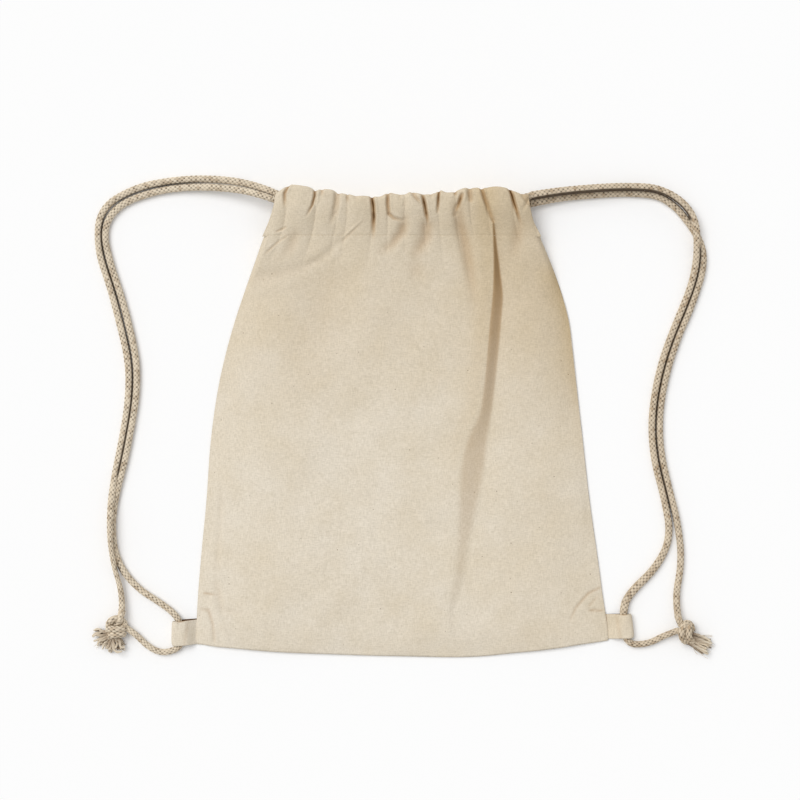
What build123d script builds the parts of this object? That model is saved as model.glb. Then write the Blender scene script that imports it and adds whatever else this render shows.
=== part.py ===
"""Cotton drawstring backpack, lying on its back panel with the mouth gathered shut.

Two cloth panels are seamed round the sides and bottom.  Each panel's top hem is turned over
into a casing, and two cords run through both casings in opposite directions.  Both ends of
a cord leave at one side, pass down to a cloth tab in the bottom corner and are knotted there,
so each pair of ends is a shoulder strap as well as half of the closure.

Millimetres.  X runs across the bag, Y from the bottom seam to the mouth, Z up from the surface
that the back panel lies on.  The origin is under the middle of the bag.
"""
import os
from math import cos, pi, radians, sin, tan

from build123d import *

os.makedirs("parts", exist_ok=True)

# --- Cloth -----------------------------------------------------------------------------
cloth = 1.0                  # calico as it lies, with its slubs and air
seam_allowance = 12.0        # turned in along the sides and the bottom
edge_turn = 1.0              # the turned-in strip lies this far inside the edge
seat_gap = 0.3               # between soft pieces that rest against each other
floor_gap = 0.1              # under cords, tabs and frayed ends that lie on the surface

# --- Bag outline -----------------------------------------------------------------------
bottom_half_width = 188.4
mouth_half_width = 128.4     # along the stitch line, drawn in by the cords
bottom_corner_y = -204.0
bottom_bow = 12.6            # how far the bottom seam bulges past its corners
stitch_line_y = 171.0        # where the casing hems are stitched down
slit_y = 112.0               # the side seams stop here and the panels part towards the mouth
corner_radius = 7.0

# Shape of the sides: share of the height, then the left and right share of the flare.
SIDE_SHAPE = [(0.0, 1.0, 1.0), (0.22, 0.955, 0.83), (0.49, 0.82, 0.62),
              (0.72, 0.57, 0.46), (0.86, 0.30, 0.295), (1.0, 0.0, 0.0)]

# --- Fullness of the front panel ---------------------------------------------------------
# Share of the height, then how far the side edges and the middle stand above the seam.
FULLNESS = [(-0.05, 0.0, 0.0), (0.0, 0.0, 0.0), (0.09, 0.0, 4.6), (0.28, 0.0, 6.8),
            (0.55, 0.0, 7.4), (0.80, 0.0, 8.4), (0.92, 5.0, 10.4), (1.0, 13.0, 13.0)]
pleat_count = 11
pleat_depth = 4.0            # of the gathers at the mouth
pleat_fade = 0.45            # share of the height over which they die out
pleat_power = 1.5            # of their fading
crown_power = 4              # higher is flatter across the middle and steeper at the sides

# --- Casings -----------------------------------------------------------------------------
casing_half_width = 119.3
fold_y = 216.6               # top edge of the bag at its outer gathers
fold_dip = 5.0               # how far the top edge sags between the two ends
mouth_gap = 5.0              # between the two casings
back_ridge = 2.2             # gathers of the back casing, flattened by the bag's weight
fold_share = 0.46            # of the channel's height, from the top edge to where it bends
root_slit = 0.4              # height of the channel where its walls meet at the stitch line
shoulder_y = 194.0           # where a casing has swelled from its stitch line to full height
casing_end_y = 199.0         # above this line the ends of the casings are square

# --- Cords -------------------------------------------------------------------------------
cord_diameter = 6.0
cord_clearance = 0.4         # between a cord and the wall of its casing
lane_inset = 10.4            # from the top edge of the bag to the middle of the upper lane
lane_spacing = 7.0           # the two cords lie side by side in each casing
bight_inset = 2.0            # a bight lies this far inside the end of the casing
bight_clearance = 3.2        # between a bight and the cut-back walls that it goes round
splice_gap = 0.3             # between a cord's run in the casing and its free strand

# --- Tabs ----------------------------------------------------------------------------------
tab_projection = 24.25       # from the side seam to the outer fold of a tab
tab_height = 23.4
left_tab_y = -184.4          # upper edges
right_tab_y = -178.0
tab_clearance = 0.6
tab_play = 5.0               # flat stretch of a tab beside its cord
tab_flattening = 0.2         # its fold is this much shallower than a half circle
tab_slit = 0.04              # opening between its two layers at the seam
tab_root = 9.0               # length of a tab that is caught in the seam

# --- Knots and frayed ends -------------------------------------------------------------------
knot_length = 20.0
knot_radius = 8.0
knot_waist = 6.6             # radius between two wraps
knot_face_radius = 5.0
knot_wraps = 3
left_knot_at = (-264.8, -189.7)
left_knot_heading = 237.0    # degrees from +X, along the knot towards its frayed ends
right_knot_at = (260.7, -192.8)
right_knot_heading = 306.0
fray_length = 13.0
fray_half_width = 10.5
fray_half_height = 3.4

# --- Sizes that follow -----------------------------------------------------------------------
seam_top = 3 * cloth         # back panel and the two turned-in allowances
cord_radius = cord_diameter / 2
channel_height = cord_diameter + 2 * cord_clearance
casing_height = channel_height + 2 * cloth
front_base = casing_height + back_ridge + mouth_gap
back_cord_z = casing_height / 2
front_cord_z = front_base + back_cord_z
upper_lane_y = fold_y - lane_inset
lower_lane_y = upper_lane_y - lane_spacing
bag_height = stitch_line_y - bottom_corner_y
bight_x = casing_half_width - bight_inset - cord_radius
wall_end_x = bight_x - cord_radius - bight_clearance
loop_end_x = casing_half_width + splice_gap
strand_start_x = loop_end_x + splice_gap
resting_z = cord_radius + floor_gap
tab_reach = bottom_half_width + tab_projection
FACETS = 4                   # flats across one gather of a casing
RUN_SHARE = 0.45             # of the shorter run, taken up by the arc at a turn of a cord


def height_at(share):
    """Y of a share of the height from the bottom corners to the stitch line."""
    return bottom_corner_y + share * bag_height


def side_points(column, sign):
    """Points of one side of the bag, from the bottom corner to the stitch line."""
    flare = bottom_half_width - mouth_half_width
    return [(sign * (mouth_half_width + row[column] * flare), height_at(row[0]))
            for row in SIDE_SHAPE]


def side_x(points, y):
    """X of a side at a height, on straight lines between its points."""
    for (x0, y0), (x1, y1) in zip(points, points[1:]):
        if y <= y1:
            return x0 + (x1 - x0) * max(0.0, y - y0) / (y1 - y0)
    return points[-1][0]


left_side = side_points(1, -1)
right_side = side_points(2, 1)


def panel_outline():
    """Sketch of a panel: flared sides, bowed bottom seam, straight top."""
    with BuildSketch() as outline:
        with BuildLine():
            Spline(*left_side)
            Line(left_side[-1], right_side[-1])
            Spline(*right_side)
            ThreePointArc(left_side[0], (0, bottom_corner_y - bottom_bow), right_side[0])
        make_face()
        fillet(outline.vertices().sort_by(Axis.Y)[:2], corner_radius)
    return outline.sketch


def drawn_in(amount):
    """Sketch of the seamed part of the bag, straight between its side points, less an edge."""
    low = bottom_corner_y + amount
    left = [(x + amount, max(y, low)) for x, y in left_side]
    right = [(x - amount, max(y, low)) for x, y in right_side]
    with BuildSketch() as inside:
        with BuildLine():
            Polyline(*left)
            Line(left[-1], right[-1])
            Polyline(*right)
            ThreePointArc(left[0], (0, low - bottom_bow), right[0])
        make_face()
        with Locations((0, slit_y)):
            Rectangle(4 * bottom_half_width, bag_height, align=(Align.CENTER, Align.MIN),
                      mode=Mode.SUBTRACT)
    return inside.sketch


def seam_strip():
    """Sketch of the turned-in allowance: inside the sides and bottom, open at the tabs."""
    with BuildSketch() as strip:
        add(drawn_in(edge_turn))
        add(drawn_in(seam_allowance), mode=Mode.SUBTRACT)
        for sign, top in ((-1, left_tab_y), (1, right_tab_y)):
            with Locations((sign * bottom_half_width, top - tab_height / 2)):
                Rectangle(4 * seam_allowance, tab_height + 2 * seat_gap, mode=Mode.SUBTRACT)
    return strip.sketch


# --- Back panel: flat cloth with its allowance turned up -----------------------------------
with BuildPart() as back_panel:
    add(panel_outline())
    extrude(amount=cloth)
    with BuildSketch(Plane.XY.offset(cloth)):
        add(seam_strip())
    extrude(amount=cloth)
back_panel.part.label = "back_panel"
export_step(back_panel.part, "parts/back_panel.step")


# --- Front panel: crowned cloth whose pleats fade downwards, with its allowance turned under --
def front_section(share, edge_rise, middle_rise):
    """Closed section of the front panel at a share of the height, in an XZ plane.

    Across the width the cloth rises from its edges to the middle as 1 - |u|**4, and the pleats
    add a zigzag that fades down the bag.
    """
    y = height_at(share)
    margin = seam_allowance
    left = side_x(left_side, y)
    right = side_x(right_side, y)
    steps = 2 * pleat_count
    fading = max(0.0, 1 - (1 - share) / pleat_fade) ** pleat_power
    crown = []
    for step in range(steps + 1):
        u = 2 * step / steps - 1
        x = left + margin + (right - left - 2 * margin) * step / steps
        rise = edge_rise + (middle_rise - edge_rise) * (1 - abs(u) ** crown_power)
        pleat = pleat_depth * fading * (step % 2)
        crown.append((x, seam_top + rise + pleat))
    edge = seam_top + edge_rise
    lower = [(left - margin, edge)] + crown + [(right + margin, edge)]
    upper = [(x, z + cloth) for x, z in reversed(lower)]
    with BuildSketch(Plane.XZ.offset(-y)) as section:
        with BuildLine():
            Line(lower[0], lower[1])
            Spline(*lower[1:-1])
            Line(lower[-2], lower[-1])
            Line(lower[-1], upper[0])
            Line(upper[0], upper[1])
            Spline(*upper[1:-1])
            Line(upper[-2], upper[-1])
            Line(upper[-1], lower[0])
        make_face()
    return section.sketch


front_sections = [front_section(*row) for row in FULLNESS]
with BuildPart() as front_panel:
    loft(front_sections, ruled=True)
    add(panel_outline())
    extrude(amount=seam_top + front_base + pleat_depth, mode=Mode.INTERSECT)
    with BuildSketch(Plane.XY.offset(2 * cloth)):
        add(seam_strip())
    extrude(amount=cloth)
front_panel.part.label = "front_panel"
export_step(front_panel.part, "parts/front_panel.step")


# --- Casings: gathered sleeves, a wedge from the stitch line that ends in a rounded fold ------
def casing_section(x, base, height, inset, root, root_height):
    """Closed section of a casing at x, in a YZ plane, drawn in by inset from its outside."""
    share = x / casing_half_width
    top_edge = fold_y - fold_dip * max(0.0, 1 - share ** 2) - inset
    bend = fold_share * channel_height + cloth - inset
    low, high = base + inset, base + height - inset
    with BuildSketch(Plane.YZ.offset(x)) as section:
        with BuildLine():
            Line((root, low), (root, low + root_height))
            Line((root, low + root_height), (shoulder_y, high))
            Line((shoulder_y, high), (top_edge - bend, high))
            ThreePointArc((top_edge - bend, high), (top_edge, (low + high) / 2),
                          (top_edge - bend, low))
            Line((top_edge - bend, low), (root, low))
        make_face()
    return section.sketch


def casing(base, ridge, cut_low, cut_high):
    """A gathered sleeve whose ends are trimmed and whose inner wall stops short of the bights."""
    count = FACETS * pleat_count
    span = 2 * mouth_half_width
    outer, inner = [], []
    for step in range(count + 1):
        x = span * (step / count - 0.5)
        height = casing_height + ridge * abs(sin(pi * step / FACETS))
        outer.append(casing_section(x, base, height, 0.0, stitch_line_y, 2 * cloth))
        inner.append(casing_section(x, base, height, cloth, stitch_line_y + 3 * cloth,
                                    root_slit))
    with BuildPart() as sleeve:
        loft(outer, ruled=True)
        loft(inner, ruled=True, mode=Mode.SUBTRACT)
        with BuildSketch() as ends:
            with BuildLine():
                Polyline((-mouth_half_width, stitch_line_y), (-casing_half_width, casing_end_y),
                         (-casing_half_width, 2 * fold_y), (casing_half_width, 2 * fold_y),
                         (casing_half_width, casing_end_y), (mouth_half_width, stitch_line_y),
                         close=True)
            make_face()
        extrude(ends.sketch, amount=base + 2 * casing_height, mode=Mode.INTERSECT)
        reach = upper_lane_y + cord_radius + cord_clearance - shoulder_y
        for sign in (-1, 1):
            with Locations((sign * wall_end_x, shoulder_y, cut_low)):
                Box(casing_half_width, reach, cut_high - cut_low,
                    align=(Align.MAX if sign < 0 else Align.MIN, Align.MIN, Align.MIN),
                    mode=Mode.SUBTRACT)
    return sleeve.part


back_casing = casing(0.0, back_ridge, back_cord_z, casing_height + 2 * back_ridge)
back_casing.label = "back_casing"
export_step(back_casing, "parts/back_casing.step")

front_casing = casing(front_base, pleat_depth, front_base - cloth, front_cord_z)
front_casing.label = "front_casing"
export_step(front_casing, "parts/front_casing.step")


# --- Cords: runs joined by tangent arcs -------------------------------------------------------
def cord(name, points):
    """Tube along a route of points, with the largest arc that each pair of runs allows."""
    route = [Vector(*point) for point in points]
    runs = [b - a for a, b in zip(route, route[1:])]
    radii = []
    for before, after in zip(runs, runs[1:]):
        turn = radians(before.get_angle(after))
        radii.append(RUN_SHARE * min(before.length, after.length) / tan(turn / 2))
    with BuildPart() as tube:
        with BuildLine() as line:
            FilletPolyline(*route, radius=radii)
        path = line.wires()[0]
        with BuildSketch(Plane(path @ 0, z_dir=path % 0)):
            Circle(cord_radius)
        sweep(path=path)
    tube.part.label = name
    export_step(tube.part, f"parts/{name}.step")
    expected = path.length * pi * cord_radius ** 2
    print(f"{name}: length {path.length:.0f}, runs {min(r.length for r in runs):.0f} to "
          f"{max(r.length for r in runs):.0f}, radii {min(radii):.1f} to {max(radii):.0f}, "
          f"volume {tube.part.volume / expected:.4f} of section x length")
    return tube.part


def casing_loop(name, sign, front_y, back_y):
    """A drawcord inside the casings: out along the front, round a bight, back behind."""
    return cord(name, [(sign * loop_end_x, front_y, front_cord_z),
                       (-sign * bight_x, front_y, front_cord_z),
                       (-sign * bight_x, back_y, back_cord_z),
                       (sign * loop_end_x, back_y, back_cord_z)])


left_casing_loop = casing_loop("left_casing_loop", -1, lower_lane_y, upper_lane_y)
right_casing_loop = casing_loop("right_casing_loop", 1, upper_lane_y, lower_lane_y)

# A strand leaves straight, falls to the surface and curves down the side of the bag.
left_direct_strand = cord("left_direct_strand", [
    (-strand_start_x, upper_lane_y, back_cord_z), (-135.5, upper_lane_y, back_cord_z),
    (-153, 214, 4.0), (-182, 221.5, resting_z), (-213, 220, resting_z), (-246.5, 214, resting_z),
    (-277, 196, resting_z), (-283, 165, resting_z), (-272.5, 131, resting_z),
    (-263, 99, resting_z), (-252.5, 61, resting_z), (-251.5, 26, resting_z),
    (-257, -9, resting_z), (-264, -40, 4.5), (-270.5, -74, 12.0), (-270, -108, 12.5),
    (-260.5, -142, 10.5), (-256.5, -164, 5.5), (-258.6, -179.4, 7.0)])

left_tab_strand = cord("left_tab_strand", [
    (-strand_start_x, lower_lane_y, front_cord_z), (-135.5, lower_lane_y, front_cord_z),
    (-153, 208, 18.5), (-176, 214.5, 12.5), (-203, 215, 6.5), (-230.5, 210, resting_z),
    (-261.5, 199, resting_z), (-276, 176, resting_z), (-268.5, 141.5, resting_z),
    (-259, 114, resting_z), (-251, 84, resting_z), (-244.5, 53.5, resting_z),
    (-245, 23, resting_z), (-250, -7.5, resting_z), (-256, -38, resting_z),
    (-264, -67.5, resting_z), (-267.5, -97.5, resting_z), (-263.5, -129, resting_z),
    (-246.5, -154.5, resting_z), (-221, -167.5, 3.6), (-205.5, -180.5, 4.4),
    (-203.6, -194, 4.5), (-204.2, -209, 4.3), (-219, -214.5, resting_z),
    (-234.5, -208.5, resting_z), (-246.5, -197.5, 4.5), (-257.6, -194.3, 6.5)])

right_tab_strand = cord("right_tab_strand", [
    (strand_start_x, upper_lane_y, front_cord_z), (135.5, upper_lane_y, front_cord_z),
    (153, 211.5, 19.0), (178, 214.5, 16.5), (209, 216, 14.5), (239, 213.5, 14.0),
    (266, 195, 13.5), (273.5, 166, 12.0), (268.5, 130, 6.0), (254, 94, resting_z),
    (241, 62.5, resting_z), (232.5, 29.5, resting_z), (228.5, -4, resting_z),
    (231.5, -38, resting_z), (240.5, -70, resting_z), (246.5, -104, resting_z),
    (236.5, -133, resting_z), (209.5, -158.5, 3.6), (203, -174.5, 4.4), (203.4, -190, 4.6),
    (206.6, -204.8, 4.4), (224, -206.5, resting_z), (240, -200, 4.0), (253.6, -198.2, 6.5)])

right_direct_strand = cord("right_direct_strand", [
    (strand_start_x, lower_lane_y, back_cord_z), (135.5, lower_lane_y, back_cord_z),
    (153, 204.5, 4.0), (180, 208, resting_z), (212, 208.5, resting_z), (244, 204.5, resting_z),
    (269.5, 181, resting_z), (279.5, 149, resting_z), (268.5, 111.5, resting_z),
    (253.5, 78, resting_z), (242.5, 44, resting_z), (235.5, 9.5, resting_z),
    (236.5, -26, resting_z), (244.5, -61.5, resting_z), (253.5, -95.5, resting_z),
    (257, -130.5, resting_z), (250.5, -162, 4.0), (254.1, -182.8, 7.0)])


# --- Tabs: a strip of cloth folded round a cord, its two ends caught in the side seam ----------
def tab_section(upper_y, x_fold, bend, low, high, root):
    """Face between a rounded fold at x_fold and a flat root, in the XZ plane at upper_y."""
    flat = x_fold + bend + tab_play
    seam = -bottom_half_width
    with BuildSketch(Plane.XZ.offset(-upper_y)) as section:
        with BuildLine():
            ThreePointArc((x_fold + bend, high), (x_fold, (low + high) / 2), (x_fold + bend, low))
            Polyline((x_fold + bend, low), (flat, low), (seam, root[0]), (seam, root[1]),
                     (flat, high), (x_fold + bend, high))
        make_face()
    return section.sketch


def tab(name, sign, upper_y):
    """One tab, drawn on the left and mirrored for the right."""
    gap = cord_diameter + 2 * tab_clearance
    bend = gap / 2
    outer = tab_section(upper_y, -tab_reach, bend + cloth - tab_flattening, floor_gap,
                        floor_gap + gap + 2 * cloth, (cloth, seam_top))
    inner = tab_section(upper_y, -tab_reach + cloth, bend - tab_flattening, floor_gap + cloth,
                        floor_gap + cloth + gap,
                        (2 * cloth - tab_slit / 2, 2 * cloth + tab_slit / 2))
    with BuildPart() as strip:
        extrude(outer, amount=tab_height)
        extrude(inner, amount=tab_height, mode=Mode.SUBTRACT)
        with Locations((-bottom_half_width, upper_y, cloth)):
            Box(tab_root, tab_height, 2 * cloth, align=(Align.MIN, Align.MAX, Align.MIN))
        if sign > 0:
            mirror(about=Plane.YZ, mode=Mode.REPLACE)
    strip.part.label = name
    export_step(strip.part, f"parts/{name}.step")
    return strip.part


left_tab = tab("left_tab", -1, left_tab_y)
right_tab = tab("right_tab", 1, right_tab_y)


# --- Knots: three wraps round the two cords, and the frayed ends beyond them -------------------
def knot_plane(at, heading, along):
    """Plane across a knot's axis, at a distance along it from the knot's middle."""
    axis = Vector(cos(radians(heading)), sin(radians(heading)), 0)
    across = Vector(-axis.Y, axis.X, 0)
    centre = Vector(at[0], at[1], knot_radius) + axis * along
    return Plane(origin=centre, x_dir=across, z_dir=axis)


def knot(name, at, heading):
    """Solid of revolution with one bulge for each wrap."""
    middle = knot_plane(at, heading, 0)
    profile = Plane(origin=middle.origin, x_dir=middle.z_dir, z_dir=middle.x_dir)
    wrap = knot_length / knot_wraps
    with BuildPart() as wraps:
        with BuildSketch(profile) as half:
            with BuildLine():
                edge = [-knot_length / 2 + wrap * turn for turn in range(knot_wraps + 1)]
                waists = [knot_face_radius] + [knot_waist] * (knot_wraps - 1) + [knot_face_radius]
                for turn in range(knot_wraps):
                    ThreePointArc((edge[turn], waists[turn]),
                                  ((edge[turn] + edge[turn + 1]) / 2, knot_radius),
                                  (edge[turn + 1], waists[turn + 1]))
                Polyline((edge[-1], knot_face_radius), (edge[-1], 0), (edge[0], 0),
                         (edge[0], knot_face_radius))
            make_face()
        revolve(axis=Axis(middle.origin, middle.z_dir))
    wraps.part.label = name
    export_step(wraps.part, f"parts/{name}.step")
    return wraps.part


def frayed_ends(name, at, heading):
    """Two cut ends that flare out and sink to the surface."""
    with BuildPart() as fray:
        with BuildSketch(knot_plane(at, heading, knot_length / 2)):
            Circle(knot_face_radius)
        with BuildSketch(knot_plane(at, heading, knot_length / 2 + fray_length)):
            with Locations((0, fray_half_height + floor_gap - knot_radius)):
                Ellipse(fray_half_width, fray_half_height)
        loft()
    fray.part.label = name
    export_step(fray.part, f"parts/{name}.step")
    return fray.part


left_knot = knot("left_knot", left_knot_at, left_knot_heading)
right_knot = knot("right_knot", right_knot_at, right_knot_heading)
left_frayed_ends = frayed_ends("left_frayed_ends", left_knot_at, left_knot_heading)
right_frayed_ends = frayed_ends("right_frayed_ends", right_knot_at, right_knot_heading)
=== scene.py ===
"""Looks of a cotton drawstring backpack that lies on its back with the mouth drawn shut.

Sizes are in millimetres in each section and are scaled to metres where a mesh is made.
X runs across the bag, Y towards the mouth, Z up from the surface that it lies on.
"""
from math import pi

import bpy
import numpy as np
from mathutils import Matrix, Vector


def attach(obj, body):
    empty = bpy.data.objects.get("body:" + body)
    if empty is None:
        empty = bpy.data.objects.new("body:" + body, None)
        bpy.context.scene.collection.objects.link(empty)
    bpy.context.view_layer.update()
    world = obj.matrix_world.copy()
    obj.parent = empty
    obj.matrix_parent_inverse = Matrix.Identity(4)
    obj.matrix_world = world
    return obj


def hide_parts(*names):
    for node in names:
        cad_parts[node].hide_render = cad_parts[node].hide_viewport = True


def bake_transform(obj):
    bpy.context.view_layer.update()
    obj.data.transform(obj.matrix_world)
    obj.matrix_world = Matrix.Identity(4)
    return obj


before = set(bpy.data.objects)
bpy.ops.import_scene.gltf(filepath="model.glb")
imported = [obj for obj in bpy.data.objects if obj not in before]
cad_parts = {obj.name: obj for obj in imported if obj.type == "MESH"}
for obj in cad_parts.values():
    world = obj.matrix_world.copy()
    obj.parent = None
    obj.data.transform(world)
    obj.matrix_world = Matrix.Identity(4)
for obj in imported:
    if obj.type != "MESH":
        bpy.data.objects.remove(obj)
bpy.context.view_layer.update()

MM = 0.001


# --- Camera ---------------------------------------------------
# A portrait lens looks straight down on the bag from head height.

view_width = 736.0
view_centre = (-2.4, 18.8)
lens, film_width = 85.0, 36.0
bag_top = 10.0
view_reach = 20.0

camera_data = bpy.data.cameras.new("overhead_camera")
camera_data.lens = lens
camera_data.sensor_width = film_width
camera_data.clip_end = view_reach
camera = bpy.data.objects.new("overhead_camera", camera_data)
camera.location = (view_centre[0] * MM, view_centre[1] * MM,
                   (bag_top + view_width * lens / film_width) * MM)
bpy.context.collection.objects.link(camera)
bpy.context.scene.camera = camera


# --- Cords: routes --------------------------------------------
# Two 6 mm braided cotton cords.  Both ends of each one leave the casing together, lie side by
# side as a shoulder strap, part above the corner tab, and meet again in a knot beyond it.

resting = 3.1

# Places along a strand, from the casing to the knot: x, y and the height of its middle.  One
# without a height rests on the surface.
LEFT_DIRECT = [
    (-119.4, 210.2, 8.0), (-139, 218.5, 5.5), (-175.5, 223.5), (-211.5, 222), (-247.5, 215),
    (-280, 195.5), (-282, 158), (-270, 123.5), (-261, 89), (-252.5, 53), (-253, 17), (-259, -18.5),
    (-266.5, -54.5, 3.6), (-270, -89.5, 8.6), (-268.5, -125, 9.6), (-257, -165.5, 4.6),
    (-259.5, -180, 7.5)]
LEFT_TAB = [
    (-119.4, 203.1, 19.0), (-138, 210, 15.5), (-168.5, 214.5, 9.5), (-200, 215.5, 5.0),
    (-229.5, 211.5), (-262.5, 199.5), (-277.5, 176.5), (-269.5, 142), (-260, 114.5), (-252, 84.5),
    (-245.5, 53.5), (-246, 23), (-251, -7.5), (-257, -38), (-265, -68), (-269, -98), (-265, -129),
    (-247, -154), (-220.5, -170.5, 3.4), (-207, -182, 4.0), (-204.5, -194.5, 4.0),
    (-204, -209.5, 3.8), (-221.5, -215.5), (-235.5, -209), (-248.5, -195, 4.5),
    (-258, -189.5, 6.5)]
RIGHT_TAB = [
    (117.5, 206.2, 15.5), (138, 210, 15.0), (171.5, 213.5, 13.5), (205.5, 215.5, 11.0),
    (239, 214, 9.8), (268, 193, 9.6), (272.5, 158.5, 8.2), (267.5, 125.5, 4.2), (254.5, 94),
    (242, 62.5), (233.5, 29.5), (229.5, -4), (232.5, -38), (241.5, -70.5), (248, -106.5),
    (235.5, -135), (207.5, -161.5, 3.4), (203.5, -176.5, 4.0), (204, -190.5, 4.0),
    (207.5, -207, 3.8), (227, -206.5), (242, -198, 4.5), (255, -193.2, 6.8)]
RIGHT_DIRECT = [
    (117.5, 200, 8.0), (140.5, 205, 5.5), (175.5, 208.5), (212, 210.5), (244.5, 206.5),
    (272, 173.5), (280, 147), (267.5, 107), (254, 77), (243, 42.5), (237, 8.5), (237.5, -27),
    (245.5, -62), (254.5, -96), (258, -131), (251, -166.5, 4.0), (254.5, -183.5, 7.5)]


def spline_line(name, route):
    """Points of the order 3 NURBS spline whose control points are the route, in metres."""
    curve = bpy.data.curves.new(name, "CURVE")
    curve.dimensions = "3D"
    curve.resolution_u = 24
    spline = curve.splines.new("NURBS")
    spline.points.add(len(route) - 1)
    for point, place in zip(spline.points, route):
        x, y, z = place if len(place) == 3 else (*place, resting)
        point.co = (x * MM, y * MM, z * MM, 1.0)
    spline.order_u = 3
    spline.use_endpoint_u = True
    holder = bpy.data.objects.new(name, curve)
    bpy.context.collection.objects.link(holder)
    bpy.context.view_layer.update()
    mesh = bpy.data.meshes.new_from_object(holder)
    line = np.array([vertex.co for vertex in mesh.vertices])
    bpy.data.objects.remove(holder)
    bpy.data.curves.remove(curve)
    bpy.data.meshes.remove(mesh)
    return line


def even_steps(line, step):
    """The same line with points a step apart, by linear interpolation along its length."""
    along = np.concatenate([[0], np.cumsum(np.linalg.norm(np.diff(line, axis=0), axis=1))])
    places = np.linspace(0, along[-1], int(along[-1] / step) + 1)
    return np.stack([np.interp(places, along, line[:, k]) for k in range(3)], axis=1)


def eased(value, low, high):
    """0 below low, 1 above high, and 3t^2 - 2t^3 between them."""
    t = np.clip((value - low) / (high - low), 0, 1)
    return t * t * (3 - 2 * t)


def unit(vectors):
    """Vectors scaled to length 1 along the last axis."""
    return vectors / np.maximum(np.linalg.norm(vectors, axis=-1, keepdims=True), 1e-12)


def net_faces(index, tube=False):
    """Faces of a net of point numbers, rows by columns: each joins a point to its neighbours
    in the next row and column.  A tube's columns close into rings, with a cap at each end."""
    across = np.roll(index, -1, axis=1) if tube else index[:, 1:]
    here = index if tube else index[:, :-1]
    faces = np.stack([here[:-1], across[:-1], across[1:], here[1:]], axis=-1).reshape(-1, 4)
    return faces.tolist() + ([index[0][::-1].tolist(), index[-1].tolist()] if tube else [])


def smooth_mesh(name, points, polygons, attributes=None):
    """Mesh that is shaded smooth.  Attributes are values with one number for each point."""
    mesh = bpy.data.meshes.new(name)
    mesh.from_pydata(points.reshape(-1, 3).tolist(), [], polygons)
    mesh.polygons.foreach_set("use_smooth", np.ones(len(polygons), bool))
    for label, values in (attributes or {}).items():
        layer = mesh.attributes.new(label, "FLOAT", "POINT")
        layer.data.foreach_set("value", np.asarray(values, np.float32).ravel())
    mesh.update()
    return mesh


def grid_mesh(name, points, tube=False, attributes=None):
    """Mesh of one net of points, rows by columns."""
    index = np.arange(points[..., 0].size).reshape(points.shape[:2])
    return smooth_mesh(name, points, net_faces(index, tube), attributes)


def add_piece(name, mesh, material):
    """Object for a mesh, at the origin, with its material."""
    piece = bpy.data.objects.new(name, mesh)
    bpy.context.collection.objects.link(piece)
    mesh.materials.append(material)
    return piece


# --- Cords: braided surface and cotton ------------------------
# Five yarns run round each way and pass over and under each other, so the surface is a net
# of small diamonds.  The cotton is cream with a few darker yarn ends, and shade is painted in tan
# and brown into the gaps between the yarns.

yarns_each_way = 5
cell_length = 4.3
braid_relief = 0.9
yarn_roundness = 0.62
tone_rows, tone_columns = 97, 89

# The shade painted into the gaps between yarns shows from a height down, over a depth, and less
# where the net is closed.  Most yarn ends are plain, and the others have up to the deepest tone.
gap_from, gap_depth, closed = 0.84, 0.40, 0.36
plain_ends, deepest_tone = 0.66, 0.5

braid_width, braid_height = 3.45, 2.95
ring_points, ring_step = 54, 0.40

# The shade painted in the groove between two strands: how dark and how wide it is.  It fades out
# where they are so close in plan that one lies over the other, and where they lie apart.
groove_shade_tint, groove = 0.9, 1.5
stacked, apart = (4.2, 5.2), (7.8, 9.0)


def srgb(red, green, blue):
    """Linear colour of an 8-bit screen colour."""
    values = np.array([red, green, blue]) / 255
    linear = np.where(values <= 0.04045, values / 12.92, ((values + 0.055) / 1.055) ** 2.4)
    return (*linear.tolist(), 1.0)


def dull_material(name, roughness, shine):
    """Material with its node tree, and its Principled shader joined to the output."""
    material = bpy.data.materials.new(name)
    material.use_nodes = True
    tree = material.node_tree
    tree.nodes.clear()
    shader = tree.nodes.new("ShaderNodeBsdfPrincipled")
    output = tree.nodes.new("ShaderNodeOutputMaterial")
    tree.links.new(shader.outputs["BSDF"], output.inputs["Surface"])
    shader.inputs["Roughness"].default_value = roughness
    shader.inputs["Specular IOR Level"].default_value = shine
    return material, tree, shader


def node(tree, kind, inputs=None, **settings):
    """Node with its settings, its inputs set to values or joined to sockets."""
    made = tree.nodes.new("ShaderNode" + kind)
    for key, value in settings.items():
        setattr(made, key, value)
    for key, value in (inputs or {}).items():
        socket = made.inputs[key]
        if isinstance(value, bpy.types.NodeSocket):
            tree.links.new(value, socket)
        else:
            socket.default_value = value
    return made


def mixed(tree, factor, first, second, blend_type="MIX"):
    """Colour socket of two colours mixed by a factor."""
    made = node(tree, "Mix", {0: factor, 6: first, 7: second}, data_type="RGBA",
                blend_type=blend_type)
    return made.outputs[2]


def ranged(tree, value, low, high, to_low=0.0, to_high=1.0):
    """Socket of a value carried from one range to another, and held inside it."""
    made = node(tree, "MapRange", {"Value": value, "From Min": low, "From Max": high,
                                   "To Min": to_low, "To Max": to_high})
    return made.outputs["Result"]


def bumped(tree, height, strength, distance):
    """Normal socket of a surface raised by a height."""
    made = node(tree, "Bump", {"Height": height, "Strength": strength, "Distance": distance})
    return made.outputs["Normal"]


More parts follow.
